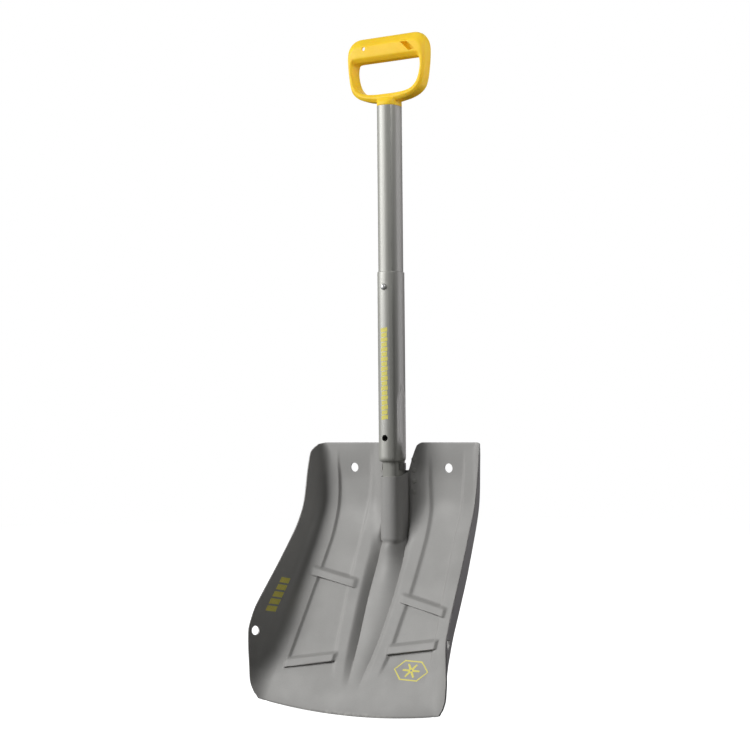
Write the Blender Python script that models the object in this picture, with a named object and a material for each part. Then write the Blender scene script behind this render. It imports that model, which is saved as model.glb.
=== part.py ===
"""Telescoping avalanche shovel: stamped blade, two oval shafts, D-grip and snap-button locks.

Frame: +Z runs up the shaft, the scoop faces -Y, X = 0 is the symmetry plane, tip at Z = 0.
All dimensions below are millimetres, drawn with the shaft's axis on Y = 0; meshes are
written in metres, moved by ORIGIN so that Y = 0 lies in the middle of the overall box.
"""
import math

import bmesh
import bpy
from mathutils import Vector

for old in list(bpy.data.objects):
    bpy.data.objects.remove(old, do_unlink=True)

MM = 0.001
ORIGIN = Vector((0.0, 44.52, 0.535))

# ---- driving dimensions -------------------------------------------------------------------
SHEET = 1.8                 # blade sheet thickness
FIT = 0.3                   # clearance left between touching pieces

BLADE_TOP = 335.0
FLANGE_Y = 17.0             # upper, upright part of the blade lies behind the shaft axis
KICK_Z = 253.0              # the floor turns forward here
KICK_SLOPE = 0.56
KICK_ROUND = 18.0
TIP_FLAT_Z = 45.0           # the floor eases back towards upright below this level
TIP_SLOPE = 0.10
TIP_RISE = 9.0              # bottom edge is an arc: corners sit this much above the middle
PANEL_DEPTH = 2.5
RIB_RAISE = 1.3
RIB_HALF = 5.5
DISH_TOP = 3.0
DISH_LOW = 7.5

SOCKET_HALF_X = 17.0        # pressed half-tube in the blade
SOCKET_CENTRE_Y = 2.5
SOCKET_FRONT_Y = -14.5
SOCKET_END_Z = 208.0

LOWER_A, LOWER_B = 15.7, 18.8           # lower shaft, half-sizes of the oval
LOWER_WALL = 1.1
LOWER_TOP, LOWER_SHOULDER, LOWER_END = 556.0, 310.6, 216.0
SPIGOT_A, SPIGOT_B, SPIGOT_Y = 12.8, 14.75, 2.65

UPPER_A, UPPER_B = 14.35, 17.45         # upper shaft
UPPER_WALL = 1.2
UPPER_TOP, UPPER_END = 771.7, 522.0

SHAFT_BUTTON_Z = 536.0
TELESCOPE_TRAVEL = 195.0
BLADE_BUTTON_Z = 262.0
BUTTON_R, BUTTON_HOLE_R = 3.8, 4.2
BUTTON_COLLAR_R = 5.2

GRIP_PIN_Z = 757.0

PLATE_T = 1.6               # rear socket plate
PLATE_HALF_X = 34.0
PLATE_LOW, PLATE_TOP, PLATE_MIDDLE_TOP = 190.0, 318.0, 299.0
COLLAR_TOP = 308.6
RIVET_X, RIVET_ZS = 25.0, (313.0, 299.0, 285.0, 271.0)
RIVET_HOLE_R, RIVET_SEAT = 2.4, 0.7

PANEL_HOLE_X, PANEL_HOLE_Z, PANEL_HOLE_R = 72.0, 302.0, 6.0
WALL_HOLE_Z, WALL_HOLE_R = 96.0, 6.0


# ---- small helpers ------------------------------------------------------------------------
def lerp(a, b, t):
    return a + (b - a) * t


def smooth(lo, hi, v):
    t = min(1.0, max(0.0, (v - lo) / (hi - lo)))
    return t * t * (3.0 - 2.0 * t)


def table(rows, z):
    """Piecewise linear lookup in rows of (z, value), z falling."""
    if z >= rows[0][0]:
        return rows[0][1]
    for (z1, v1), (z0, v0) in zip(rows, rows[1:]):
        if z >= z0:
            return lerp(v0, v1, (z - z0) / (z1 - z0))
    return rows[-1][1]


def mesh_object(name, verts, faces):
    mesh = bpy.data.meshes.new(name)
    mesh.from_pydata([(Vector(v) + ORIGIN) * MM for v in verts], [], faces)
    obj = bpy.data.objects.new(name, mesh)
    bpy.context.scene.collection.objects.link(obj)
    bm = bmesh.new()
    bm.from_mesh(mesh)
    bmesh.ops.recalc_face_normals(bm, faces=bm.faces)
    bm.to_mesh(mesh)
    bm.free()
    return obj


def oval(a, b, z, n, cy=0.0):
    steps = [2.0 * math.pi * i / n for i in range(n)]
    return [(a * math.sin(t), cy - b * math.cos(t), z) for t in steps]


def loft(name, rings, closed=False):
    """Skin a list of equal rings; ends are capped, or joined to each other when closed."""
    n = len(rings[0])
    verts = [v for ring in rings for v in ring]
    faces = []
    spans = len(rings) if closed else len(rings) - 1
    for r in range(spans):
        s = (r + 1) % len(rings)
        for i in range(n):
            j = (i + 1) % n
            faces.append((r * n + i, r * n + j, s * n + j, s * n + i))
    if not closed:
        faces.append(tuple(range(n)))
        faces.append(tuple((len(rings) - 1) * n + i for i in range(n)))
    return mesh_object(name, verts, faces)


def turned(name, profile, n, centre, axis):
    """Solid of revolution: profile is (distance along axis, radius), axis a unit vector."""
    turn = Vector((0.0, 0.0, 1.0)).rotation_difference(Vector(axis)).to_matrix()
    rings = []
    for along, radius in profile:
        ring = []
        for i in range(n):
            t = 2.0 * math.pi * (i + 0.5) / n
            p = turn @ Vector((radius * math.cos(t), radius * math.sin(t), along))
            ring.append(tuple(p + Vector(centre)))
        rings.append(ring)
    return loft(name, rings)


CUTTERS = bpy.data.collections.new("cutters")
bpy.context.scene.collection.children.link(CUTTERS)


def boolean(target, tool, operation):
    for collection in list(tool.users_collection):
        collection.objects.unlink(tool)
    CUTTERS.objects.link(tool)
    tool.hide_render = True
    tool.display_type = "WIRE"
    mod = target.modifiers.new(tool.name, "BOOLEAN")
    mod.operation = operation
    mod.solver = "EXACT"
    mod.object = tool


def drill(target, name, centre, axis, radius, depth, n=20):
    tool = turned(name, [(0.0, radius), (depth, radius)], n, centre, axis)
    boolean(target, tool, "DIFFERENCE")


# ---- blade surface ------------------------------------------------------------------------
WALL_BASE_X = ((335, 119.5), (300, 120.0), (250, 121.0), (225, 123.0), (175, 126.5),
               (125, 130.0), (75, 133.5), (50, 135.0), (0, 136.5))
WALL_OUT = ((335, 1.0), (325, 8.0), (300, 8.7), (250, 7.5), (225, 6.5), (175, 10.0),
            (125, 13.4), (100, 13.6), (75, 11.5), (50, 7.0), (25, 3.0), (0, 0.6))
WALL_FORWARD = ((335, 2.0), (325, 13.2), (300, 22.7), (275, 26.9), (250, 30.1), (225, 32.3),
                (200, 36.3), (175, 40.4), (150, 43.4), (125, 44.8), (100, 44.6), (75, 35.0),
                (50, 21.8), (25, 8.9), (0, 1.5))
PANEL_IN = ((310, 44), (285, 44), (243, 48), (215, 49), (170, 48), (146, 47), (110, 43),
            (85, 41), (60, 36), (40, 30))
PANEL_OUT = ((310, 97), (285, 95), (243, 94), (215, 93), (170, 96), (146, 98), (110, 101),
             (85, 103), (60, 105), (40, 106))
GROOVE_OUT = ((250, 42), (225, 36), (200, 31), (135, 29.8), (111, 28), (87, 26.7), (64, 23.7),
              (35, 18))
GROOVE_IN = ((230, 19), (200, 18), (189, 16.5), (135, 16), (111, 14), (87, 12), (64, 10),
             (35, 7))
GROOVE_DEPTH = ((335, 5.0), (208, 5.0), (175, 6.0), (111, 6.0), (87, 5.5), (64, 4.0),
                (50, 2.5), (32, 0.0))
CREST_Y = ((208, -14.5), (175, -22.8), (155, -31.8), (135, -41.8), (111, -53.8), (87, -67.5),
           (64, -81.0), (32, -99.5))
RIM_BY_Y = ((20.0, 316.0), (17.3, 314.0), (12.4, 310.0), (2.6, 297.0), (-4.0, 291.5),
            (-14.5, 291.0))
RIM_BY_X = ((32.0, 335.0), (24.4, 332.0), (20.6, 326.8), (18.4, 321.6), (17.2, 316.0))


def floor_line(z):
    """Y of the blade floor beside the walls."""
    t = z - KICK_Z
    y = FLANGE_Y + KICK_SLOPE * 0.5 * (t - math.sqrt(t * t + KICK_ROUND * KICK_ROUND))
    if z < TIP_FLAT_Z:
        drop = TIP_FLAT_Z - z
        y += (KICK_SLOPE - TIP_SLOPE) * drop * drop / (2.0 * TIP_FLAT_Z)
    return y


def rib_mask(x, z):
    upper = 147.3 - 0.197 * x
    lower = 72.6 + 0.1606 * x
    reach = smooth(34.0, 40.0, abs(x)) * (1.0 - smooth(104.0, 109.0, abs(x)))
    nearest = min(abs(z - upper), abs(z - lower))
    return reach * (1.0 - smooth(RIB_HALF - 2.5, RIB_HALF + 1.5, nearest))


def panel_mask(x, z):
    a = abs(x)
    across = smooth(table(PANEL_IN, z) - 1.5, table(PANEL_IN, z) + 3.0, a)
    across *= 1.0 - smooth(table(PANEL_OUT, z) - 3.0, table(PANEL_OUT, z) + 1.5, a)
    below = 1.0 - smooth(30.0, 52.0, z)
    inside = max(across, below * (1.0 - smooth(100.0, 118.0, a)))
    return inside * (1.0 - smooth(303.0, 322.0, z))


def floor_y(x, z):
    """Y of the front face of the blade floor outside the central tube and ridge."""
    a = abs(x)
    dish = lerp(DISH_LOW, DISH_TOP, smooth(200.0, 275.0, z)) * smooth(0.0, 60.0, z + 15.0)
    y = floor_line(z) + dish * max(0.0, 1.0 - (a / 126.0) ** 2)
    rib = rib_mask(x, z)
    y += PANEL_DEPTH * panel_mask(x, z) * (1.0 - rib) - RIB_RAISE * rib
    hollow = 1.0 - smooth(table(GROOVE_IN, z), table(GROOVE_OUT, z), a)
    return y + table(GROOVE_DEPTH, z) * hollow


def ridge_point(side, q, z):
    """Half-tube above SOCKET_END_Z, easing into a low rounded ridge below it."""
    foot = table(GROOVE_IN, z)
    low = floor_y(foot, z)
    crest = SOCKET_FRONT_Y if z >= SOCKET_END_Z else table(CREST_Y, z)
    crest = lerp(low, crest, smooth(34.0, 64.0, z))
    ridge = (foot * q, lerp(crest, low, 0.5 - 0.5 * math.cos(math.pi * q)))
    if q <= 0.75:
        angle = 0.5 * math.pi * q / 0.75
        reach = SOCKET_CENTRE_Y - SOCKET_FRONT_Y
        tube = (SOCKET_HALF_X * math.sin(angle), SOCKET_CENTRE_Y - reach * math.cos(angle))
    else:
        up = (q - 0.75) / 0.25
        tube = (lerp(SOCKET_HALF_X, foot, up ** 2), lerp(SOCKET_CENTRE_Y, low, up))
    blend = smooth(SOCKET_END_Z - 10.0, SOCKET_END_Z + 4.0, z)
    return (side * lerp(ridge[0], tube[0], blend), lerp(ridge[1], tube[1], blend))


def wall_point(side, w, z):
    """Side wall: w runs from the tangent point on the floor (0) to the rim (1)."""
    base_x = table(WALL_BASE_X, z)
    base_y = floor_line(z)
    out, forward = table(WALL_OUT, z), table(WALL_FORWARD, z)
    height = math.hypot(out, forward)
    r = min(11.0, 0.45 * height + 1.5)
    start = (base_x - r, floor_y(base_x - r, z))
    f = min(0.9, r / height)
    turn = (base_x + out * f, base_y - forward * f)
    if w < 0.5:
        t = w / 0.5
        k0, k1, k2 = (1 - t) ** 2, 2 * t * (1 - t), t * t
        x = k0 * start[0] + k1 * base_x + k2 * turn[0]
        y = k0 * start[1] + k1 * base_y + k2 * turn[1]
    else:
        t = (w - 0.5) / 0.5
        x = lerp(turn[0], base_x + out, t)
        y = lerp(turn[1], base_y - forward, t)
    return (side * x, y)


def bottom_z(kind, v):
    if kind == "wall":
        return TIP_RISE + 9.0 * v * v
    x = v if kind == "floor" else 0.0
    return TIP_RISE * (x / 126.0) ** 2


def top_z(kind, v):
    if kind == "wall":
        return BLADE_TOP - 9.0 * v * v
    if kind == "floor":
        return table(RIM_BY_X, v) if v < 32.0 else BLADE_TOP
    y = ridge_point(1, v, 280.0)[1]
    return table(RIM_BY_Y, y)


def blade_columns():
    """(kind, side, parameter) from the left rim to the right rim."""
    right = [("ridge", 1, q) for q in (0.18, 0.36, 0.54, 0.68, 0.80, 0.92, 1.0)]
    right += [("groove", 1, g) for g in (0.35, 0.7, 1.0)]
    right += [("panel", 1, p) for p in (0.0, 0.1, 0.37, 0.64, 0.91, 1.0)]
    right += [("wall", 1, w) for w in (0.0, 0.22, 0.4, 0.6, 1.0)]
    left = [(kind, -1, v) for kind, _, v in reversed(right)]
    return left + [("ridge", 1, 0.0)] + right


def column_x(kind, v, z):
    if kind == "groove":
        return lerp(table(GROOVE_IN, z), table(GROOVE_OUT, z), v)
    inner, outer = table(PANEL_IN, z) - 1.5, table(PANEL_OUT, z) + 1.5
    return lerp(inner, outer, v)


def blade_point(kind, side, v, t):
    if kind == "wall":
        z = lerp(bottom_z(kind, v), top_z(kind, v), t)
        x, y = wall_point(side, v, z)
        return (x, y, z)
    if kind == "ridge":
        z = lerp(bottom_z(kind, v), top_z(kind, v), t)
        x, y = ridge_point(side, v, z)
        return (x, y, z)
    edge = column_x(kind, v, BLADE_TOP)
    z = lerp(bottom_z("floor", edge), top_z("floor", edge), t)
    x = side * column_x(kind, v, z)
    return (x, floor_y(x, z), z)


def blade_rows():
    steps = [0.0, 0.03, 0.07, 0.11, 0.15]
    steps += [0.15 + 0.02 * i for i in range(1, 20)]
    steps += [0.575, 0.61, 0.645, 0.68, 0.715, 0.75, 0.785, 0.82, 0.86, 0.90, 0.94, 0.97, 1.0]
    return steps


def make_blade():
    columns, rows = blade_columns(), blade_rows()
    front = [[Vector(blade_point(k, s, v, t)) for k, s, v in columns] for t in rows]
    nr, nc = len(rows), len(columns)
    back = []
    for r in range(nr):
        line = []
        for c in range(nc):
            along = front[min(r + 1, nr - 1)][c] - front[max(r - 1, 0)][c]
            across = front[r][min(c + 1, nc - 1)] - front[r][max(c - 1, 0)]
            normal = along.cross(across).normalized()
            if normal.y < 0.0 and abs(normal.y) > 0.25:
                normal = -normal
            line.append(front[r][c] + normal * SHEET)
        back.append(line)
    verts = [v for line in front for v in line] + [v for line in back for v in line]
    shift = nr * nc
    faces = []
    for r in range(nr - 1):
        for c in range(nc - 1):
            i = r * nc + c
            faces.append((i, i + 1, i + nc + 1, i + nc))
            faces.append((shift + i, shift + i + nc, shift + i + nc + 1, shift + i + 1))
    rim = [c for c in range(nc)]
    rim += [r * nc + nc - 1 for r in range(1, nr)]
    rim += [(nr - 1) * nc + c for c in range(nc - 2, -1, -1)]
    rim += [r * nc for r in range(nr - 2, 0, -1)]
    for i, j in zip(rim, rim[1:] + rim[:1]):
        faces.append((i, i + shift, j + shift, j))
    blade = mesh_object("blade", verts, faces)
    for side, tag in ((-1, "left"), (1, "right")):
        centre = (side * PANEL_HOLE_X, 0.0, PANEL_HOLE_Z)
        drill(blade, "panel_hole_" + tag, centre, (0, 1, 0), PANEL_HOLE_R, 45.0)
        x, y = wall_point(side, 0.80, WALL_HOLE_Z)
        drill(blade, "wall_hole_" + tag, (x - side * 18.0, y, WALL_HOLE_Z), (side, 0, 0),
              WALL_HOLE_R, 36.0)
        for i, z in enumerate(RIVET_ZS):
            centre, axis = rivet_frame(side, z)
            drill(blade, "rivet_hole_%s_%d" % (tag, i), centre - 5.0 * axis, axis,
                  RIVET_HOLE_R, 15.0, 12)
    return blade


# ---- rear socket plate and rivets ---------------------------------------------------------
def rivet_frame(side, z):
    """Centre on the front face of the sheet and the direction square to it."""
    centre = Vector((side * RIVET_X, floor_y(RIVET_X, z), z))
    slope_x = (floor_y(RIVET_X + 3.0, z) - floor_y(RIVET_X - 3.0, z)) / 6.0
    slope_z = (floor_y(RIVET_X, z + 3.0) - floor_y(RIVET_X, z - 3.0)) / 6.0
    return centre, Vector((-side * slope_x, 1.0, -slope_z)).normalized()


def plate_y(x, z):
    """Front face of the rear plate: flanges follow the blade, the middle hugs the spigot."""
    a = abs(x)
    flange = floor_y(max(a, 19.5), z) + SHEET * 1.22 + 0.5
    middle = SPIGOT_Y + SPIGOT_B + 0.5
    middle = lerp(flange, middle, smooth(PLATE_LOW + 4.0, 212.0, z))
    return lerp(middle, flange, smooth(12.2, 14.9, a))


def plate_top(x):
    return lerp(PLATE_MIDDLE_TOP, PLATE_TOP, smooth(15.0, 22.0, abs(x)))


def make_plate():
    half = (0.0, 6.0, 9.5, 12.2, 13.1, 14.0, 14.9, 19.5, 23.9, 29.0, PLATE_HALF_X)
    xs = [-x for x in reversed(half[1:])] + list(half)
    rows = [i / 17.0 for i in range(18)]
    nr, nc = len(rows), len(xs)
    verts = []
    for depth in (0.0, PLATE_T):
        for t in rows:
            for x in xs:
                z = lerp(PLATE_LOW + 6.0 * (abs(x) / PLATE_HALF_X) ** 2, plate_top(x), t)
                verts.append((x, plate_y(x, z) + depth, z))
    shift = nr * nc
    faces = []
    for r in range(nr - 1):
        for c in range(nc - 1):
            i = r * nc + c
            faces.append((i, i + 1, i + nc + 1, i + nc))
            faces.append((shift + i, shift + i + nc, shift + i + nc + 1, shift + i + 1))
    rim = list(range(nc)) + [r * nc + nc - 1 for r in range(1, nr)]
    rim += [(nr - 1) * nc + c for c in range(nc - 2, -1, -1)]
    rim += [r * nc for r in range(nr - 2, 0, -1)]
    for i, j in zip(rim, rim[1:] + rim[:1]):
        faces.append((i, i + shift, j + shift, j))
    plate = mesh_object("socket_plate", verts, faces)
    drill(plate, "plate_button_hole", (0.0, 10.0, BLADE_BUTTON_Z), (0, 1, 0),
          BUTTON_HOLE_R, 16.0)
    for side, tag in ((-1, "left"), (1, "right")):
        for i, z in enumerate(RIVET_ZS):
            centre, axis = rivet_frame(side, z)
            drill(plate, "plate_rivet_hole_%s_%d" % (tag, i), centre - 5.0 * axis, axis,
                  RIVET_HOLE_R, 15.0, 12)
    return plate


def make_collar():
    """Rolled collar at the mouth of the socket, wrapped round the back of the spigot."""
    steps = 18
    low, high = PLATE_MIDDLE_TOP + FIT, COLLAR_TOP
    rings = []
    for i in range(steps + 1):
        t = math.radians(lerp(-112.0, 112.0, i / steps))
        ux, uy = math.sin(t), math.cos(t)
        ring = []
        for out, z in ((0.3, low), (0.3, high - 3.0), (0.9, high), (1.7, high - 0.8),
                       (1.85, high - 4.0), (1.6, low)):
            ring.append(((SPIGOT_A + out) * ux, SPIGOT_Y + (SPIGOT_B + out) * uy, z))
        rings.append(ring)
    return loft("socket_collar", rings)


def make_rivets():
    number = 0
    for side in (-1, 1):
        for z in RIVET_ZS:
            number += 1
            centre, axis = rivet_frame(side, z)
            grip = (plate_y(RIVET_X, z) + PLATE_T - centre.y) * axis.y + RIVET_SEAT
            profile = [(-RIVET_SEAT - 0.8, 1.6), (-RIVET_SEAT - 0.45, 3.1),
                       (-RIVET_SEAT, 3.5), (-RIVET_SEAT, 2.0), (grip, 2.0), (grip, 3.3),
                       (grip + 1.2, 2.9), (grip + 1.6, 1.6)]
            turned("socket_rivet_%d" % number, profile, 12, centre, axis)


# ---- shafts -------------------------------------------------------------------------------
def make_lower_shaft():
    n = 32
    w = LOWER_WALL
    mid_a, mid_b = 0.5 * (LOWER_A + SPIGOT_A), 0.5 * (LOWER_B + SPIGOT_B)
    outer = [oval(LOWER_A, LOWER_B, LOWER_TOP, n),
             oval(LOWER_A, LOWER_B, SHAFT_BUTTON_Z - 60.0, n),
             oval(LOWER_A, LOWER_B, LOWER_SHOULDER + 5.0, n),
             oval(LOWER_A - 0.9, LOWER_B - 0.9, LOWER_SHOULDER + 1.2, n),
             oval(mid_a, mid_b, LOWER_SHOULDER, n, 0.5 * SPIGOT_Y),
             oval(SPIGOT_A, SPIGOT_B, LOWER_SHOULDER - 1.5, n, SPIGOT_Y),
             oval(SPIGOT_A, SPIGOT_B, LOWER_END + 3.0, n, SPIGOT_Y),
             oval(SPIGOT_A - 0.6, SPIGOT_B - 0.6, LOWER_END, n, SPIGOT_Y)]
    inner = [oval(SPIGOT_A - w - 0.4, SPIGOT_B - w - 0.4, LOWER_END, n, SPIGOT_Y),
             oval(SPIGOT_A - w, SPIGOT_B - w, LOWER_END + 3.0, n, SPIGOT_Y),
             oval(SPIGOT_A - w, SPIGOT_B - w, LOWER_SHOULDER + 1.0, n, SPIGOT_Y),
             oval(mid_a - w, mid_b - w, LOWER_SHOULDER + 3.0, n, 0.5 * SPIGOT_Y),
             oval(LOWER_A - w, LOWER_B - w, LOWER_SHOULDER + 7.0, n),
             oval(LOWER_A - w, LOWER_B - w, LOWER_TOP, n)]
    shaft = loft("lower_shaft", outer + inner, closed=True)
    for name, z in (("extended_hole", SHAFT_BUTTON_Z),
                    ("collapsed_hole", SHAFT_BUTTON_Z - TELESCOPE_TRAVEL)):
        drill(shaft, name, (0.0, -26.0, z), (0, 1, 0), BUTTON_HOLE_R, 16.0)
    drill(shaft, "spigot_hole", (0.0, 9.0, BLADE_BUTTON_Z), (0, 1, 0), BUTTON_HOLE_R, 16.0)
    return shaft


def make_upper_shaft():
    n = 32
    w = UPPER_WALL
    rings = [oval(UPPER_A, UPPER_B, UPPER_TOP, n), oval(UPPER_A, UPPER_B, UPPER_END, n),
             oval(UPPER_A - w, UPPER_B - w, UPPER_END, n),
             oval(UPPER_A - w, UPPER_B - w, UPPER_TOP, n)]
    shaft = loft("upper_shaft", rings, closed=True)
    drill(shaft, "upper_button_hole", (0.0, -24.0, SHAFT_BUTTON_Z), (0, 1, 0),
          BUTTON_HOLE_R, 16.0)
    drill(shaft, "upper_pin_hole", (0.0, 8.0, GRIP_PIN_Z), (0, 1, 0), 2.7, 16.0, 14)
    return shaft


def make_end_plug():
    """Moulded plug that closes the bottom of the upper shaft."""
    n = 32
    a, b = UPPER_A - UPPER_WALL - FIT, UPPER_B - UPPER_WALL - FIT
    low = UPPER_END - FIT
    rings = [oval(a - 3.0, b - 3.0, UPPER_END + 6.5, n), oval(a - 1.5, b - 1.5, low - 1.5, n),
             oval(UPPER_A - 1.0, UPPER_B - 1.0, low - 2.7, n),
             oval(UPPER_A, UPPER_B, low - 1.7, n), oval(UPPER_A, UPPER_B, low, n),
             oval(a, b, low, n), oval(a, b, UPPER_END + 6.5, n)]
    return loft("shaft_end_plug", rings, closed=True)


# ---- D-grip -------------------------------------------------------------------------------
# outer x, outer z, inner x, inner z, half depth; from the middle of the bar round to the neck
GRIP_STATIONS = ((0, 864, 0, 834, 13), (20, 864, 20, 834, 13), (38, 864, 40, 834, 13),
                 (48, 860, 46.5, 833.2, 12.6), (54, 852, 49.6, 831, 12),
                 (57.5, 842, 51, 827, 11), (58, 830, 51, 820, 10.5),
                 (56.8, 816, 49.8, 812, 10.5), (54.5, 803, 47.5, 804.5, 10.5),
                 (50, 794, 43.5, 798, 10.5), (42, 786.5, 37, 792.5, 10.5),
                 (32, 781.5, 29, 789.8, 10.5), (21, 778.5, 20, 788.5, 10.5),
                 (10, 777, 10, 788, 10.5), (0, 777, 0, 788, 10.5))


def make_grip():
    right = list(GRIP_STATIONS)
    left = [(-ox, oz, -ix, iz, d) for ox, oz, ix, iz, d in reversed(right[1:-1])]
    rings = []
    for ox, oz, ix, iz, depth in right + left:
        mid = Vector(((ox + ix) / 2.0, 0.0, (oz + iz) / 2.0))
        arm = Vector(((ox - ix) / 2.0, 0.0, (oz - iz) / 2.0))
        ring = []
        for i in range(14):
            t = 2.0 * math.pi * i / 14
            u, v = math.cos(t), math.sin(t)
            u = math.copysign(abs(u) ** 0.7, u)
            v = math.copysign(abs(v) ** 0.7, v)
            ring.append(tuple(mid + arm * u + Vector((0.0, depth * v, 0.0))))
        rings.append(ring)
    grip = loft("d_grip", rings, closed=True)
    n = 28
    a, b = UPPER_A - UPPER_WALL - FIT, UPPER_B - UPPER_WALL - FIT
    neck = [oval(a - 0.6, b - 0.6, 740.0, n), oval(a, b, 741.5, n), oval(a, b, 772.0, n),
            oval(UPPER_A, UPPER_B, 772.0, n), oval(UPPER_A + 0.2, UPPER_B - 0.3, 776.0, n),
            oval(16.0, 13.5, 781.0, n), oval(13.0, 7.0, 785.5, n)]
    boolean(grip, loft("grip_neck", neck), "UNION")
    drill(grip, "grip_pin_hole", (0.0, 8.0, GRIP_PIN_Z), (0, 1, 0), 2.7, 14.0, 14)
    return grip


def make_grip_pin():
    head = UPPER_B + FIT
    profile = [(8.4, 2.2), (head, 2.2), (head, 3.8), (head + 0.9, 3.4), (head + 1.4, 1.8)]
    return turned("grip_pin", profile, 14, (0.0, 0.0, GRIP_PIN_Z), (0, 1, 0))


# ---- snap buttons -------------------------------------------------------------------------
def collar_seat(a, b):
    """Distance from the oval's centre at which a flat collar clears the curved wall."""
    return b * math.sqrt(1.0 - (BUTTON_COLLAR_R / a) ** 2) - FIT


def make_button(name, z, seat, tip, sign):
    """Domed push button with a collar that stays behind the tube wall."""
    profile = [(seat - 2.4, 3.0), (seat - 1.2, 3.0), (seat - 1.2, BUTTON_COLLAR_R),
               (seat, BUTTON_COLLAR_R), (seat, BUTTON_R), (tip - 1.6, BUTTON_R),
               (tip - 0.6, BUTTON_R - 0.9), (tip, BUTTON_R - 2.4)]
    return turned(name, profile, 18, (0.0, 0.0, z), (0, sign, 0))


def make_spring(name, z, near_y, far_y, height):
    """V-shaped leaf spring that pushes a button outwards from the opposite wall."""
    thick, half = 0.7, 3.6
    line = [(near_y, z - 5.0), (near_y, z + 6.0), (lerp(near_y, far_y, 0.42), z + height),
            (lerp(near_y, far_y, 0.58), z + height), (far_y, z + 6.0), (far_y, z - 5.0)]
    side = 1.0 if far_y > near_y else -1.0
    inside = [(near_y + side * thick, z - 5.0), (near_y + side * thick, z + 5.8),
              (lerp(near_y, far_y, 0.44), z + height - 1.0),
              (lerp(near_y, far_y, 0.56), z + height - 1.0),
              (far_y - side * thick, z + 5.8), (far_y - side * thick, z - 5.0)]
    outline = line + list(reversed(inside))
    rings = [[(x, y, h) for y, h in outline] for x in (-half, half)]
    n = len(outline)
    verts = rings[0] + rings[1]
    faces = [(i, (i + 1) % n, n + (i + 1) % n, n + i) for i in range(n)]
    for i in range(5):
        j = 11 - i
        faces.append((i, j, j - 1, i + 1))
        faces.append((n + i, n + i + 1, n + j - 1, n + j))
    return mesh_object(name, verts, faces)


make_blade()
make_plate()
make_collar()
make_rivets()
make_lower_shaft()
make_upper_shaft()
make_end_plug()
make_grip()
make_grip_pin()

upper_inner = UPPER_B - UPPER_WALL
seat = collar_seat(UPPER_A - UPPER_WALL, upper_inner)
make_button("shaft_lock_button", SHAFT_BUTTON_Z, seat, 21.4, -1)
make_spring("shaft_lock_spring", SHAFT_BUTTON_Z, -(seat - 2.7), upper_inner - 1.2, 46.0)

seat = SPIGOT_Y + collar_seat(SPIGOT_A - LOWER_WALL, SPIGOT_B - LOWER_WALL)
spigot_front = SPIGOT_Y - SPIGOT_B + LOWER_WALL
make_button("blade_lock_button", BLADE_BUTTON_Z, seat, 22.6, 1)
make_spring("blade_lock_spring", BLADE_BUTTON_Z, seat - 2.7, spigot_front + 1.2, 36.0)
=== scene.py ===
"""Looks of the telescoping avalanche shovel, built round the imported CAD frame.

Everything is drawn in millimetres with the lower shaft's axis on X = Y = 0, as the CAD part
is, and moved by ORIGIN into the row frame, in metres, when its mesh is written.
"""
import math

import bmesh
import bpy
from mathutils import Matrix, Vector


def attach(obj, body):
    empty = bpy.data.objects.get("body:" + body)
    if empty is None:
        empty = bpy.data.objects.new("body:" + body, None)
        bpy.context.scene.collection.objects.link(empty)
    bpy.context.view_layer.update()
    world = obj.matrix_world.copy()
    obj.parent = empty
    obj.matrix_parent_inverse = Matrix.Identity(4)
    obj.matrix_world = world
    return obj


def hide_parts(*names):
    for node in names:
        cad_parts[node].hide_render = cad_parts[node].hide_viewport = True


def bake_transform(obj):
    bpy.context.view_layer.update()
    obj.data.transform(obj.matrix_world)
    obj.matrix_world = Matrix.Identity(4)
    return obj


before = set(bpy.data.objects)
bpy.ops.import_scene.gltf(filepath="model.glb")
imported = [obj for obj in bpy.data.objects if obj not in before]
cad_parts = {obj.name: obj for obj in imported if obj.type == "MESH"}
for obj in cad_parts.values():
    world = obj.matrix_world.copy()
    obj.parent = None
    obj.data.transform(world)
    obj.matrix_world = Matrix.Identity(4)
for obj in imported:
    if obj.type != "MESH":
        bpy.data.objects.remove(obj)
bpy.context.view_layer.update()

MM = 0.001
ORIGIN = Vector((0.0, 44.52, 0.535))
scene = bpy.context.scene

# ---- dimensions ----
# Those of the CAD part, except the socket's half width, the ribs' height and the tubes'
# squareness, which follow a closer look at the object.
SHEET = 1.8                     # blade sheet
FIT = 0.3                       # gap between pieces that touch

BLADE_TOP = 335.0
FLANGE_Y = 17.0                 # the upright part of the blade lies behind the shaft
KICK_Z, KICK_SLOPE, KICK_ROUND = 253.0, 0.56, 18.0      # where the floor turns forward
TIP_FLAT_Z, TIP_SLOPE = 45.0, 0.10                      # it eases back upright at the tip
TIP_RISE = 9.0                  # the bottom edge is an arc, this much higher at its ends
PANEL_DEPTH = 2.5
RIB_RAISE, RIB_HALF = 2.8, 5.5
RIB_UPPER_Z, RIB_UPPER_SLOPE = 147.3, -0.197
RIB_LOWER_Z, RIB_LOWER_SLOPE = 72.6, 0.1606
DISH_TOP, DISH_LOW, DISH_HALF_X = 3.0, 7.5, 126.0

SOCKET_HALF_X = 15.9
SOCKET_CENTRE_Y, SOCKET_FRONT_Y = 2.5, -14.5
SOCKET_END_Z = 208.0
SOCKET_TURN = 0.75              # share of the half-tube's section that is round

# half width and half depth of each tube, and how its oval is squared
TUBE_POWER, TUBE_RADIUS, FACET_DEPTH, FACET_CORNER = 2.5, 16.0, 0.3, math.radians(43.0)
LOWER_A, LOWER_B = 15.7, 18.8
LOWER_WALL = 1.1
LOWER_TOP, LOWER_SHOULDER, LOWER_END = 556.0, 310.6, 216.0
SPIGOT_A, SPIGOT_B, SPIGOT_Y = 12.8, 14.75, 2.65

UPPER_A, UPPER_B = 14.35, 17.45
UPPER_WALL = 1.2
UPPER_TOP, UPPER_END = 771.7, 522.0

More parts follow.
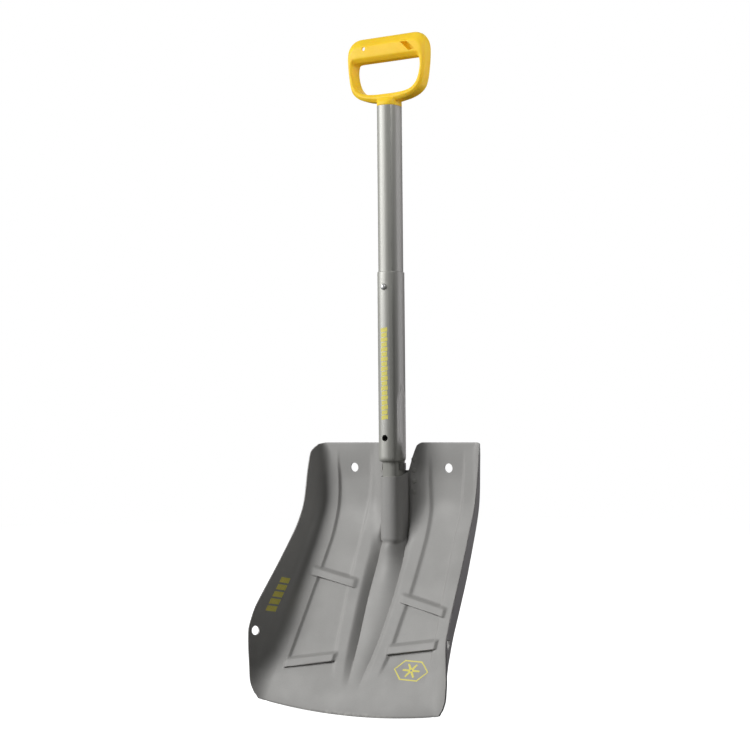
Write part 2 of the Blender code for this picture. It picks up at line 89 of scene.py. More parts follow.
SHAFT_BUTTON_Z = 536.0
TELESCOPE_TRAVEL = 195.0
BLADE_BUTTON_Z = 262.0
BUTTON_R, BUTTON_HOLE_R, BUTTON_COLLAR_R = 3.8, 4.2, 5.2
GRIP_PIN_Z, GRIP_PIN_HOLE_R = 757.0, 2.7

PLATE_T = 1.6
PLATE_HALF_X = 34.0
PLATE_LOW, PLATE_TOP, PLATE_MIDDLE_TOP = 190.0, 318.0, 299.0
COLLAR_TOP = 308.6
RIVET_X, RIVET_ZS = 25.0, (313.0, 299.0, 285.0, 271.0)
RIVET_HOLE_R, RIVET_SEAT = 2.4, 0.7

PANEL_HOLE_X, PANEL_HOLE_Z, PANEL_HOLE_R = 72.0, 302.0, 6.0
WALL_HOLE_Z, WALL_HOLE_R = 96.0, 6.0


# ---- small helpers ----
def lerp(a, b, t):
    return a + (b - a) * t


def smooth(lo, hi, v):
    t = min(1.0, max(0.0, (v - lo) / (hi - lo)))
    return t * t * (3.0 - 2.0 * t)


def table(rows, z):
    """Piecewise linear lookup in rows of (z, value), z falling."""
    if z >= rows[0][0]:
        return rows[0][1]
    for (z1, v1), (z0, v0) in zip(rows, rows[1:]):
        if z >= z0:
            return lerp(v0, v1, (z - z0) / (z1 - z0))
    return rows[-1][1]


def soft_table(rows, z, reach=7.0):
    """The same lookup with its corners rounded over reach above and below."""
    return (table(rows, z - reach) + 2.0 * table(rows, z) + table(rows, z + reach)) / 4.0


def mesh_object(name, verts, faces, crease_angle=32.0):
    """A smooth-shaded piece with sharp edges where faces meet at more than crease_angle."""
    mesh = bpy.data.meshes.new(name)
    mesh.from_pydata([(Vector(v) + ORIGIN) * MM for v in verts], [], faces)
    obj = bpy.data.objects.new(name, mesh)
    scene.collection.objects.link(obj)
    bm = bmesh.new()
    bm.from_mesh(mesh)
    bmesh.ops.recalc_face_normals(bm, faces=bm.faces)
    bm.to_mesh(mesh)
    bm.free()
    shade(obj, crease_angle)
    return obj


def shade(obj, crease_angle):
    mesh = obj.data
    mesh.shade_smooth()
    mesh.set_sharp_from_angle(angle=math.radians(crease_angle))


def loft(name, rings, closed=False, crease_angle=32.0):
    """Skin a list of equal rings; ends are capped, or joined to each other when closed."""
    n = len(rings[0])
    verts = [v for ring in rings for v in ring]
    faces = []
    spans = len(rings) if closed else len(rings) - 1
    for r in range(spans):
        s = (r + 1) % len(rings)
        for i in range(n):
            j = (i + 1) % n
            faces.append((r * n + i, r * n + j, s * n + j, s * n + i))
    if not closed:
        faces.append(tuple(range(n)))
        faces.append(tuple((len(rings) - 1) * n + i for i in range(n)))
    return mesh_object(name, verts, faces, crease_angle)


def turned(name, profile, n, centre, axis, crease_angle=32.0):
    """Solid of revolution: profile is (distance along axis, radius), axis a unit vector."""
    turn = Vector((0.0, 0.0, 1.0)).rotation_difference(Vector(axis)).to_matrix()
    rings = []
    for along, radius in profile:
        ring = []
        for i in range(n):
            t = 2.0 * math.pi * (i + 0.5) / n
            p = turn @ Vector((radius * math.cos(t), radius * math.sin(t), along))
            ring.append(tuple(p + Vector(centre)))
        rings.append(ring)
    return loft(name, rings, crease_angle=crease_angle)


def cut(target, tools, crease_angle=32.0):
    """Cut the tools out of the target, then drop them."""
    for tool in tools:
        mod = target.modifiers.new(tool.name, "BOOLEAN")
        mod.operation = "DIFFERENCE"
        mod.solver = "EXACT"
        mod.object = tool
    settle(target, crease_angle)
    for tool in tools:
        bpy.data.objects.remove(tool, do_unlink=True)


def settle(target, crease_angle=32.0):
    """Replace the object's mesh by what its modifiers make of it."""
    graph = bpy.context.evaluated_depsgraph_get()
    mesh = bpy.data.meshes.new_from_object(target.evaluated_get(graph))
    target.modifiers.clear()
    target.data = mesh
    shade(target, crease_angle)


def drill(name, centre, axis, radius, depth, n=48):
    return turned(name, [(0.0, radius), (depth, radius)], n, centre, axis)


# ---- blade surface ----
# Rows of (height, value). Walls: x of the bend, then how far the rim leans out of it and
# stands forward of it.
WALL_BASE_X = ((335, 119.5), (300, 120.0), (250, 121.0), (225, 123.0), (175, 126.5),
               (125, 129.3), (75, 131.3), (50, 130.3), (28, 128.3), (0, 128.0))
WALL_OUT = ((335, 1.0), (327, 8.0), (300, 8.7), (250, 7.5), (225, 6.5), (175, 10.0),
            (125, 14.7), (100, 14.7), (75, 13.9), (50, 14.8), (28, 15.6), (15, 8.5), (0, 3.6))
WALL_FORWARD = ((335, 5.0), (329, 16.0), (300, 23.0), (275, 26.9), (250, 30.1), (225, 32.3),
                (200, 36.3), (175, 41.0), (150, 46.5), (125, 51.5), (100, 50.0), (75, 36.0),
                (50, 20.5), (28, 10.0), (15, 3.8), (0, 1.5))
# X of the edges of the recessed panels, and of the groove between panel and ridge.
PANEL_IN = ((310, 44), (285, 44), (243, 48), (215, 49), (170, 48), (146, 47), (110, 43),
            (85, 41), (60, 36), (40, 30))
PANEL_OUT = ((310, 97), (285, 95), (243, 94), (215, 93), (170, 96), (146, 98), (110, 101),
             (85, 103), (60, 105), (40, 106))
GROOVE_OUT = ((250, 42), (225, 36), (200, 30.5), (135, 28), (111, 26), (87, 24), (64, 21.5),
              (35, 17))
GROOVE_IN = ((230, 17.6), (205, 17.9), (189, 18.8), (151, 18.7), (135, 18.4), (111, 16.5),
             (87, 14.4), (64, 12), (35, 8))
# Depth of the groove at the ridge's foot; negative where the blade flares forward there.
GROOVE_DEPTH = ((335, -13.0), (268, -13.0), (245, -9.0), (225, -2.5), (208, 4.0), (180, 8.6),
                (111, 8.6), (87, 8.0), (64, 5.8), (50, 3.0), (32, 0.0))
RIDGE_HEIGHT = ((208, 16.5), (190, 10.5), (175, 7.0), (155, 4.3), (135, 3.0), (111, 2.5),
                (64, 2.2), (32, 0.0))
CREASE_WIDTH, CREASE_DEPTH = 5.5, 5.0           # beside the half-tube
# Height of the rim at the socket: by y over the half-tube, by x beside it.
RIM_BY_Y = ((7.0, 296.0), (2.6, 293.4), (-4.0, 291.5), (-14.5, 291.0))
RIM_BY_X = ((34.0, 335.0), (30.5, 333.8), (27.5, 330.5), (24.5, 321.0), (22.0, 311.0),
            (20.0, 302.5), (17.6, 296.0))


def floor_line(z):
    """Y of the blade floor beside the walls."""
    t = z - KICK_Z
    y = FLANGE_Y + KICK_SLOPE * 0.5 * (t - math.sqrt(t * t + KICK_ROUND * KICK_ROUND))
    if z < TIP_FLAT_Z:
        drop = TIP_FLAT_Z - z
        y += (KICK_SLOPE - TIP_SLOPE) * drop * drop / (2.0 * TIP_FLAT_Z)
    return y


def rib_mask(x, z):
    upper = RIB_UPPER_Z + RIB_UPPER_SLOPE * x
    lower = RIB_LOWER_Z + RIB_LOWER_SLOPE * x
    reach = smooth(34.0, 40.0, abs(x)) * (1.0 - smooth(104.0, 109.0, abs(x)))
    above = min(z - upper, z - lower, key=abs)
    if above > 0.0:
        return reach * (1.0 - smooth(RIB_HALF - 2.5, RIB_HALF + 1.5, above))
    return reach * (1.0 - smooth(RIB_HALF - 0.8, RIB_HALF + 1.4, -above))


def panel_mask(x, z):
    a = abs(x)
    inner, outer = soft_table(PANEL_IN, z), soft_table(PANEL_OUT, z)
    across = smooth(inner - 2.2, inner + 4.2, a)
    across *= 1.0 - smooth(outer - 3.0, outer + 1.5, a)
    return across * smooth(44.0, 66.0, z) * (1.0 - smooth(284.0, 330.0, z))


def floor_y(x, z):
    """Y of the front face of the blade floor outside the central tube and ridge."""
    a = abs(x)
    dish = lerp(DISH_LOW, DISH_TOP, smooth(200.0, 275.0, z)) * smooth(0.0, 60.0, z + 15.0)
    y = floor_line(z) + dish * max(0.0, 1.0 - (a / DISH_HALF_X) ** 2)
    rib = rib_mask(x, z)
    y += PANEL_DEPTH * panel_mask(x, z) * (1.0 - rib) - RIB_RAISE * rib
    start, stop = soft_table(GROOVE_IN, z), soft_table(GROOVE_OUT, z)
    across = min(1.0, max(0.0, (a - start) / (stop - start)))
    fall = lerp(1.25, 1.9, smooth(200.0, 240.0, z))
    crease = CREASE_DEPTH * smooth(200.0, 216.0, z) * (1.0 - 0.5 * smooth(270.0, 296.0, z))
    crease *= max(0.0, 1.0 - max(0.0, a - start) / CREASE_WIDTH) ** 2
    return y + soft_table(GROOVE_DEPTH, z) * (1.0 - across) ** fall + crease


def facet(angle):
    """How far a tube wall lies inside its oval (negative: outside): four flattened faces."""
    swell = abs(math.sin(angle)) ** TUBE_POWER + abs(math.cos(angle)) ** TUBE_POWER
    swell = TUBE_RADIUS * (swell ** (-1.0 / TUBE_POWER) - 1.0)
    folded = abs((angle + math.pi) % (2.0 * math.pi) - math.pi)
    folded = min(folded, math.pi - folded)
    if folded < FACET_CORNER:
        u = folded / FACET_CORNER
    else:
        u = (0.5 * math.pi - folded) / (0.5 * math.pi - FACET_CORNER)
    return FACET_DEPTH * (1.0 - u ** 6) - swell


def ridge_point(side, q, z):
    """Half-tube above SOCKET_END_Z, easing into a low rounded ridge below it."""
    foot = soft_table(GROOVE_IN, z)
    low = floor_y(foot, z)
    ridge = (foot * q, low - soft_table(RIDGE_HEIGHT, z, 3.0) * (1.0 - q * q))
    if q <= SOCKET_TURN:
        angle = 0.5 * math.pi * q / SOCKET_TURN
        reach = SOCKET_CENTRE_Y - SOCKET_FRONT_Y
        inset = 1.0 - facet(angle) / reach
        tube = (SOCKET_HALF_X * inset * math.sin(angle),
                SOCKET_CENTRE_Y - reach * inset * math.cos(angle))
    else:
        up = (q - SOCKET_TURN) / (1.0 - SOCKET_TURN)
        start = SOCKET_HALF_X - facet(0.5 * math.pi)
        tube = (lerp(start, foot, up ** 2), lerp(SOCKET_CENTRE_Y, low, up))
    blend = smooth(SOCKET_END_Z - 5.0, SOCKET_END_Z + 3.0, z)
    return (side * lerp(ridge[0], tube[0], blend), lerp(ridge[1], tube[1], blend))


def wall_frame(z):
    """Bend radius, base corner and rim offset of the side wall at a height."""
    out, forward = soft_table(WALL_OUT, z), soft_table(WALL_FORWARD, z)
    height = math.hypot(out, forward)
    r = min(lerp(21.5, 11.0, smooth(95.0, 175.0, z)), 0.55 * height + 1.5)
    return soft_table(WALL_BASE_X, z), floor_line(z), out, forward, height, r


def wall_point(side, w, z):
    """Side wall: w runs from the tangent point on the floor (0) to the rim (1)."""
    base_x, base_y, out, forward, height, r = wall_frame(z)
    start = (base_x - r, floor_y(base_x - r, z))
    f = min(0.9, r / height)
    turn = (base_x + out * f, base_y - forward * f)
    if w < 0.5:
        t = w / 0.5
        k0, k1, k2 = (1 - t) ** 2, 2 * t * (1 - t), t * t
        x = k0 * start[0] + k1 * base_x + k2 * turn[0]
        y = k0 * start[1] + k1 * base_y + k2 * turn[1]
    else:
        t = (w - 0.5) / 0.5
        x = lerp(turn[0], base_x + out, t)
        y = lerp(turn[1], base_y - forward, t)
    return (side * x, y)


def bottom_z(kind, v):
    if kind == "wall":
        return TIP_RISE + 9.0 * v * v
    x = v if kind == "floor" else 0.0
    return TIP_RISE * (x / DISH_HALF_X) ** 2


def top_z(kind, v):
    if kind == "wall":
        return BLADE_TOP - 9.0 * v * v
    if kind == "floor":
        return table(RIM_BY_X, v) if v < 34.0 else BLADE_TOP
    y = ridge_point(1, v, 280.0)[1]
    return table(RIM_BY_Y, y)


def column_x(kind, v, z):
    """X of a floor column: groove, panel between its creases, or the flange outside it."""
    panel_end = soft_table(PANEL_OUT, z) + 2.0
    if kind == "groove":
        return lerp(soft_table(GROOVE_IN, z), soft_table(PANEL_IN, z) - 2.0, v)
    if kind == "flange":
        base_x, _, _, _, _, r = wall_frame(z)
        return lerp(panel_end, base_x - r, v)
    return lerp(soft_table(PANEL_IN, z) - 2.0, panel_end, v)


def blade_columns():
    """(kind, side, parameter) from the left rim to the right rim."""
    panel = [0.0, 0.012, 0.024, 0.036, 0.048, 0.06, 0.075, 0.095]
    panel += [0.095 + 0.81 * i / 22.0 for i in range(1, 22)]
    panel += [1.0 - p for p in reversed(panel[:8])]
    right = [("ridge", 1, i / 24.0) for i in range(1, 25)]
    right += [("groove", 1, i / 12.0) for i in range(1, 12)]
    right += [("panel", 1, p) for p in panel]
    right += [("flange", 1, i / 6.0) for i in range(1, 6)]
    right += [("wall", 1, 0.5 * i / 12.0) for i in range(13)]
    right += [("wall", 1, 0.5 + 0.5 * i / 8.0) for i in range(1, 8)]
    right += [("wall", 1, 0.992), ("wall", 1, 1.0)]
    left = [(kind, -1, v) for kind, _, v in reversed(right)]
    return left + [("ridge", 1, 0.0)] + right


def row_tilt(z):
    """Slope of a row of points at a height, so that rows run along the slanted ribs."""
    if z >= RIB_UPPER_Z:
        return RIB_UPPER_SLOPE * (1.0 - smooth(RIB_UPPER_Z + 8.0, 270.0, z))
    if z >= RIB_LOWER_Z:
        between = smooth(RIB_LOWER_Z + 8.0, RIB_UPPER_Z - 8.0, z)
        return lerp(RIB_LOWER_SLOPE, RIB_UPPER_SLOPE, between)
    return RIB_LOWER_SLOPE * smooth(0.0, RIB_LOWER_Z - 8.0, z)


def row_height(kind, side, v, row):
    """Height of a row where it crosses a column: tilted, and fitted to both end edges."""
    x = column_x(kind, v, row) if kind in ("groove", "panel", "flange") else 0.0
    if kind == "wall":
        x = column_x("flange", 1.0, row)
    low = bottom_z("wall" if kind == "wall" else "floor", v if kind == "wall" else x)
    if kind in ("wall", "ridge"):
        high = top_z(kind, v)
    else:
        high = top_z("floor", column_x(kind, v, BLADE_TOP))
    z = row + row_tilt(row) * side * x
    z += low * max(0.0, 1.0 - row / 60.0) ** 2
    return z + (high - BLADE_TOP) * max(0.0, (row - 190.0) / (BLADE_TOP - 190.0)) ** 1.5


def blade_point(kind, side, v, row):
    z = row_height(kind, side, v, row)
    if kind in ("wall", "ridge"):
        x, y = wall_point(side, v, z) if kind == "wall" else ridge_point(side, v, z)
        return (x, y, z)
    x = side * column_x(kind, v, z)
    return (x, floor_y(x, z), z)


def blade_rows():
    """Heights of the rows at the middle of the blade, closer together along the ribs."""
    rows = [0.0, 0.7]
    while rows[-1] < BLADE_TOP - 2.6:
        z = rows[-1]
        near = min(abs(z - RIB_UPPER_Z), abs(z - RIB_LOWER_Z))
        rows.append(z + lerp(0.85, 2.3, smooth(8.0, 16.0, near)))
    return rows + [BLADE_TOP - 0.7, BLADE_TOP]


def sheet_normal(front, r, c):
    nr, nc = len(front), len(front[0])
    along = front[min(r + 1, nr - 1)][c] - front[max(r - 1, 0)][c]
    across = front[r][min(c + 1, nc - 1)] - front[r][max(c - 1, 0)]
    normal = along.cross(across).normalized()
    if normal.y < 0.0 and abs(normal.y) > 0.25:
        normal = -normal
    return normal


def slab_faces(nr, nc):
    """Faces of a closed slab: a front grid of points, then the same grid at the back."""
    shift = nr * nc
    faces = []
    for r in range(nr - 1):
        for c in range(nc - 1):
            i = r * nc + c
            faces.append((i, i + 1, i + nc + 1, i + nc))
            faces.append((shift + i, shift + i + nc, shift + i + nc + 1, shift + i + 1))
    rim = list(range(nc)) + [r * nc + nc - 1 for r in range(1, nr)]
    rim += [(nr - 1) * nc + c for c in range(nc - 2, -1, -1)]
    rim += [r * nc for r in range(nr - 2, 0, -1)]
    for i, j in zip(rim, rim[1:] + rim[:1]):
        faces.append((i, i + shift, j + shift, j))
    return faces


def sheet_object(name, front, thickness):
    """A sheet with an eased edge: front is a grid of points on its front face."""
    nr, nc = len(front), len(front[0])
    layers = ([], [])
    for r in range(nr):
        for c in range(nc):
            edge = r in (0, nr - 1) or c in (0, nc - 1)
            normal = sheet_normal(front, r, c)
            for layer, depth in zip(layers, (0.25, 0.75) if edge else (0.0, 1.0)):
                layer.append(front[r][c] + normal * thickness * depth)
    return mesh_object(name, layers[0] + layers[1], slab_faces(nr, nc), 45.0)


def rivet_frame(side, z):
    """Centre on the front face of the sheet and the direction square to it."""
    centre = Vector((side * RIVET_X, floor_y(RIVET_X, z), z))
    slope_x = (floor_y(RIVET_X + 3.0, z) - floor_y(RIVET_X - 3.0, z)) / 6.0
    slope_z = (floor_y(RIVET_X, z + 3.0) - floor_y(RIVET_X, z - 3.0)) / 6.0
    return centre, Vector((-side * slope_x, 1.0, -slope_z)).normalized()


def rivet_holes(tag):
    tools = []
    for side in (-1, 1):
        for i, z in enumerate(RIVET_ZS):
            centre, axis = rivet_frame(side, z)
            name = "%s_rivet_hole_%d_%d" % (tag, side, i)
            tools.append(drill(name, centre - 5.0 * axis, axis, RIVET_HOLE_R, 15.0, 24))
    return tools


def make_blade():
    columns = blade_columns()
    front = [[Vector(blade_point(k, s, v, row)) for k, s, v in columns]
             for row in blade_rows()]
    blade = sheet_object("blade_shell", front, SHEET)
    tools = rivet_holes("blade")
    for side in (-1, 1):
        centre = (side * PANEL_HOLE_X, 0.0, PANEL_HOLE_Z)
        tools.append(drill("panel_hole_%d" % side, centre, (0, 1, 0), PANEL_HOLE_R, 45.0))
        x, y = wall_point(side, 0.80, WALL_HOLE_Z)
        tools.append(drill("wall_hole_%d" % side, (x - side * 18.0, y, WALL_HOLE_Z),
                           (side, 0, 0), WALL_HOLE_R, 36.0))
    cut(blade, tools, 45.0)
    return blade


# ---- rear socket plate, collar and rivets ----
def plate_y(x, z):
    """Front face of the rear plate: flanges follow the blade, the middle hugs the spigot."""
    a = abs(x)
    flange = floor_y(max(a, 18.0), z) + SHEET * 1.3 + 0.7
    middle = SPIGOT_Y + SPIGOT_B + 0.5
    middle = lerp(flange, middle, smooth(PLATE_LOW + 4.0, 212.0, z))
    return lerp(middle, flange, smooth(12.2, 14.9, a))


def plate_top(x):
    return lerp(PLATE_MIDDLE_TOP, PLATE_TOP, smooth(17.5, 24.0, abs(x)))


def make_plate():
    half = [0.0, 2.0, 4.0, 6.0, 8.0, 10.0, 11.4]
    half += [11.8 + 0.35 * i for i in range(11)]
    half += [16.5, 18.0, 19.5, 21.0, 22.5, 24.1, 25.7, 27.5, 29.5, 31.5, 33.4, PLATE_HALF_X]
    xs = [-x for x in reversed(half[1:])] + half
    rows = 64
    steps = [0.0, 0.005] + [lerp(0.005, 0.995, i / rows) for i in range(1, rows)]
    steps += [0.995, 1.0]
    front = []
    for t in steps:
        line = []
        for x in xs:
            z = lerp(PLATE_LOW + 6.0 * (abs(x) / PLATE_HALF_X) ** 2, plate_top(x), t)
            line.append(Vector((x, plate_y(x, z), z)))
        front.append(line)
    plate = sheet_object("socket_plate_shell", front, PLATE_T)
    tools = rivet_holes("plate")
    tools.append(drill("plate_button_hole", (0.0, 10.0, BLADE_BUTTON_Z), (0, 1, 0),
                       BUTTON_HOLE_R, 16.0))
    cut(plate, tools, 45.0)
    return plate


def make_collar():
    """Rolled collar at the mouth of the socket, wrapped round the back of the spigot."""
    steps = 72
    low, high = PLATE_MIDDLE_TOP + FIT, COLLAR_TOP
    section = ((0.3, low), (0.3, high - 3.0), (0.42, high - 1.6), (0.62, high - 0.6),
               (0.9, high - 0.1), (1.2, high), (1.5, high - 0.25), (1.7, high - 0.8),
               (1.8, high - 1.8), (1.85, high - 4.0), (1.75, low + 1.0), (1.5, low))
    rings = []
    for i in range(steps + 1):
        t = math.radians(lerp(-112.0, 112.0, i / steps))
        ux, uy = math.sin(t), math.cos(t)
        swell = -facet(t)
        rings.append([((SPIGOT_A + swell + out) * ux,
                       SPIGOT_Y + (SPIGOT_B + swell + out) * uy, z) for out, z in section])
    return loft("socket_collar_rolled", rings)


def dome(at, radius, rise, foot):
    """Profile points of a low domed head that starts at distance at and ends at at + rise."""
    points = []
    for i in range(7):
        a = 0.5 * math.pi * i / 7.0
        points.append((at + foot + rise * math.sin(a), radius * math.cos(a)))
    points.append((at + foot + rise, 0.05 * radius))
    return points


def make_rivets():
    """Solid rivets: factory head behind, upset nearly flush in front."""
    made = []
    for side in (-1, 1):
        for z in RIVET_ZS:
            centre, axis = rivet_frame(side, z)
            grip = (plate_y(RIVET_X, z) + PLATE_T - centre.y) * axis.y + RIVET_SEAT
            profile = [(-0.45, 0.2), (-0.45, 2.2), (-0.38, 2.7), (-0.22, 3.0), (0.1, 3.1)]
            profile += [(0.1, 2.0), (grip, 2.0), (grip, 3.3)]
            profile += dome(grip, 3.3, 1.4, 0.2)
            made.append(turned("rivet_%d" % (len(made) + 1), profile, 32, centre, axis))
    return made


# ---- shafts ----
ROUND = 96                      # points round a shaft
FLUTE_HALF_Y = 9.5              # pressed flats on both sides of the lower shaft
FLUTE_DEPTH = 0.9
FLUTE_LOW, FLUTE_POINT, FLUTE_TOP = 313.0, 394.0, 414.0


def flute_depth(y, z):
    half = FLUTE_HALF_Y * (1.0 - smooth(FLUTE_POINT - 6.0, FLUTE_TOP, z))
    if half < 0.6 or z < FLUTE_LOW:
        return 0.0
    u = min(1.0, abs(y) / half)
    return FLUTE_DEPTH * (1.0 - u ** 10) * min(1.0, half / 4.0)


def shaft_ring(a, b, z, cy=0.0, faceted=True, fluted=False):
    ring = []
    for i in range(ROUND):
        t = 2.0 * math.pi * i / ROUND
        inset = facet(t) if faceted else 0.0
        x = (a - inset) * math.sin(t)
        y = cy - (b - inset) * math.cos(t)
        if fluted:
            x -= math.copysign(flute_depth(y, z), x) if abs(x) > 0.6 * a else 0.0
        ring.append((x, y, z))
    return ring


def make_lower_shaft():
    w = LOWER_WALL
    top, step, end = LOWER_TOP, LOWER_SHOULDER, LOWER_END
    middle = (0.5 * (LOWER_A + SPIGOT_A), 0.5 * (LOWER_B + SPIGOT_B), 0.5 * SPIGOT_Y)
    tube, spigot = (LOWER_A, LOWER_B, 0.0), (SPIGOT_A, SPIGOT_B, SPIGOT_Y)

    def ring(oval, inset, z, fluted=False):
        a, b, y = oval
        return shaft_ring(a - inset, b - inset, z, y, fluted=fluted)

    steps = 46
    rings = [ring(tube, 0.85, top), ring(tube, 0.45, top - 0.1),
             ring(tube, 0.12, top - 0.45), ring(tube, 0.0, top - 1.2)]
    rings += [ring(tube, 0.0, z) for z in (500.0, 470.0, 440.0, 424.0)]
    rings += [ring(tube, 0.0, lerp(FLUTE_TOP + 2.0, step + 5.0, i / steps), True)
              for i in range(steps + 1)]
    rings += [ring(tube, 0.2, step + 3.0), ring(tube, 0.9, step + 1.2),
              shaft_ring(LOWER_A - 1.7, LOWER_B - 2.2, step + 0.3, 0.3),
              ring(middle, 0.0, step), ring(spigot, -0.3, step - 0.6),
              ring(spigot, 0.0, step - 1.5), ring(spigot, 0.0, end + 3.0),
              ring(spigot, 0.6, end), ring(spigot, w + 0.4, end), ring(spigot, w, end + 3.0),
              ring(spigot, w, step + 1.0), ring(middle, w, step + 3.0),
              ring(tube, w, step + 7.0), ring(tube, w, top - 0.6), ring(tube, w - 0.1, top - 0.1)]
    shaft = loft("lower_shaft_tube", rings, closed=True, crease_angle=40.0)
    tools = [drill("extended_hole", (0.0, -26.0, SHAFT_BUTTON_Z), (0, 1, 0),
                   BUTTON_HOLE_R, 16.0),
             drill("collapsed_hole", (0.0, -26.0, SHAFT_BUTTON_Z - TELESCOPE_TRAVEL),
                   (0, 1, 0), BUTTON_HOLE_R, 16.0),
             drill("spigot_hole", (0.0, 9.0, BLADE_BUTTON_Z), (0, 1, 0),
                   BUTTON_HOLE_R, 16.0)]
    cut(shaft, tools, 40.0)
    return shaft


def make_upper_shaft():
    w = UPPER_WALL
    rings = [shaft_ring(UPPER_A, UPPER_B, UPPER_TOP)]
    rings += [shaft_ring(UPPER_A, UPPER_B, lerp(UPPER_TOP, UPPER_END + 0.6, i / 8.0))
              for i in range(1, 9)]
    rings += [shaft_ring(UPPER_A - 0.3, UPPER_B - 0.3, UPPER_END),
              shaft_ring(UPPER_A - w, UPPER_B - w, UPPER_END),
              shaft_ring(UPPER_A - w, UPPER_B - w, UPPER_TOP)]
    shaft = loft("upper_shaft_tube", rings, closed=True, crease_angle=40.0)
    tools = [drill("upper_button_hole", (0.0, -24.0, SHAFT_BUTTON_Z), (0, 1, 0),
                   BUTTON_HOLE_R, 16.0),
             drill("upper_pin_hole", (0.0, 8.0, GRIP_PIN_Z), (0, 1, 0), GRIP_PIN_HOLE_R, 16.0, 28)]
    cut(shaft, tools, 40.0)
    return shaft


def make_end_plug():
    """Moulded plug that closes the bottom of the upper shaft."""
    bore = UPPER_WALL + FIT
    low = UPPER_END - FIT
    section = ((bore + 3.0, UPPER_END + 6.5), (bore + 1.5, low - 1.2), (bore + 1.2, low - 1.8),
               (1.0, low - 2.7), (0.4, low - 2.4), (0.1, low - 1.8), (0.1, low), (bore, low),
               (bore, UPPER_END + 6.0), (bore + 0.5, UPPER_END + 6.5))
    rings = [shaft_ring(UPPER_A - inset, UPPER_B - inset, z) for inset, z in section]
    return loft("end_plug_moulding", rings, closed=True)


# ---- D-grip ----
# outer x, outer z, inner x, inner z, half depth; from the middle of the bar round to the neck
GRIP_TOP = 864.0
GRIP_STATIONS = ((0, 864, 0, 832, 13), (20, 864, 20, 832, 13), (41, 864, 42, 832, 13),
                 (51, 861, 48, 831.2, 12.6), (56.8, 853.5, 50.4, 829, 12),
                 (59, 843.5, 51.4, 825, 11), (59, 830, 51.4, 819, 10.5),
                 (57.6, 816, 50.2, 811.5, 10.5), (55.4, 802.5, 47.8, 804, 10.5),
                 (51.6, 792.5, 44, 797.5, 10.5), (43.6, 785.4, 37.5, 792, 10.5),
                 (33, 781, 29, 789.4, 10.5), (21, 778.5, 20, 788.4, 10.5),
                 (10, 777, 10, 788, 10.5), (0, 777, 0, 788, 10.5))
# section corners as (towards the outside, towards the back), one half; the rest is mirrored
BAR_SECTION = ((1.0, -0.26), (0.27, -1.0), (-0.66, -0.95), (-1.0, -0.50))
STRAP_SECTION = ((1.0, -0.70), (0.15, -1.0), (-0.35, -1.0), (-1.0, -0.82))
CORNER_POINTS = 5
CORNER_REACH = 0.17
# cored-out pockets in the back of the bar: (from x, to x, y of the pocket's floor)
GRIP_POCKETS = ((-49.5, -26.0, -10.6), (-23.0, -2.0, -7.0), (2.0, 23.0, -7.0),
                (26.0, 49.0, -2.5))
LANYARD_HOLE = (-31.5, 849.0, 2.6)
GRIP_NOTCH = ((24.5, 851.5), (34.5, 851.5), (47.0, 840.2), (37.0, 839.2))
GRIP_NOTCH_DEPTH = 9.0


def station(s):
    """A smooth curve through the grip's stations, mirrored for the left half."""
    right = list(GRIP_STATIONS)
    left = [(-ox, oz, -ix, iz, d) for ox, oz, ix, iz, d in reversed(right[1:-1])]
    loop = right + left
    n = len(loop)
    k = int(math.floor(s))
    f = s - k
    p = [loop[(k + j) % n] for j in (-1, 0, 1, 2)]
    point = []
    for j in range(5):
        p0, p1, p2, p3 = (row[j] for row in p)
        point.append(0.5 * (2 * p1 + (p2 - p0) * f + (2 * p0 - 5 * p1 + 4 * p2 - p3) * f * f
                            + (3 * p1 - p0 - 3 * p2 + p3) * f ** 3))
    return point


def grip_section(strap):
    """Rounded section between the faceted bar (strap 0) and the slim strap (strap 1)."""
    half = [(lerp(bu, su, strap), lerp(bv, sv, strap))
            for (bu, bv), (su, sv) in zip(BAR_SECTION, STRAP_SECTION)]
    corners = half + [(u, -v) for u, v in reversed(half)]
    points = []
    n = len(corners)
    for i in range(n):
        before, here, after = (Vector(corners[(i + j) % n]) for j in (-1, 0, 1))
        start = here.lerp(before, CORNER_REACH)
        stop = here.lerp(after, CORNER_REACH)
        for j in range(CORNER_POINTS):
            t = j / (CORNER_POINTS - 1)
            points.append(start.lerp(here, t).lerp(here.lerp(stop, t), t))
    return points


